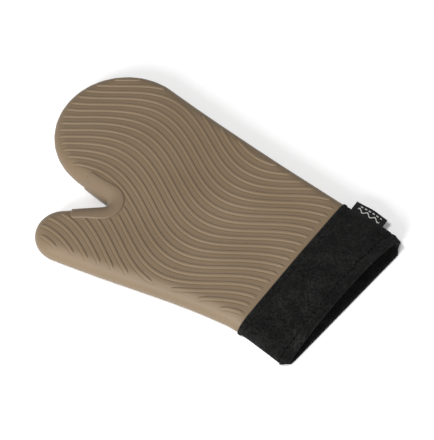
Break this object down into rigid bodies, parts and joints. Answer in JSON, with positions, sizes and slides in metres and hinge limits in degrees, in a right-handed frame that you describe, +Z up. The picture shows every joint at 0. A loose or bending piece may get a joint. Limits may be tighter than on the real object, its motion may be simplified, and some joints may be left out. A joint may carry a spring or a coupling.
{
  "type": "oven mitt",
  "caption": "Silicone oven mitt with wavy grip ribs, a reinforced thumb crotch, a padded cotton lining and a black fabric cuff with a side label.",
  "frame": {"origin": "under the middle of the bounding box, on the surface the mitt lies on", "axes": "+Y from the cuff mouth to the fingertips, +Z up through the back of the mitt, thumb towards -X"},
  "size_m": [0.21, 0.3346, 0.025],
  "materials": {
    "silicone": "matte moulded silicone in taupe, with fine raised ribs",
    "smooth_silicone": "smooth satin silicone in taupe",
    "batting": "soft off-white polyester batting",
    "cotton_lining": "plain-woven black cotton",
    "black_cotton": "matte black cotton twill, slightly creased",
    "black_thread": "black polyester sewing thread",
    "woven_tape": "black woven satin tape with a plain white motif"
  },
  "bodies": {
    "mitt": {"silicone_shell": "silicone", "crotch_band": "smooth_silicone", "padding_front": "batting", "padding_back": "batting", "lining_front": "cotton_lining", "lining_back": "cotton_lining", "lining_seam_stitch": "black_thread", "cuff_front": "black_cotton", "cuff_back": "black_cotton", "cuff_hem": "black_cotton", "hem_stitch": "black_thread", "cuff_join_stitch": "black_thread", "seam_allowance_right": "black_cotton", "side_stitch_right": "black_thread", "seam_allowance_left": "black_cotton", "side_stitch_left": "black_thread"},
    "label": {"label": "woven_tape"}
  },
  "joints": [
    {"name": "label_flap", "type": "hinge", "parent": "mitt", "child": "label", "pos_m": [0.09396, -0.12631, 0.0125], "axis": [0, -1, 0], "range_deg": [-80, 80], "stiffness_Nm_per_rad": 0.0005}
  ]
}
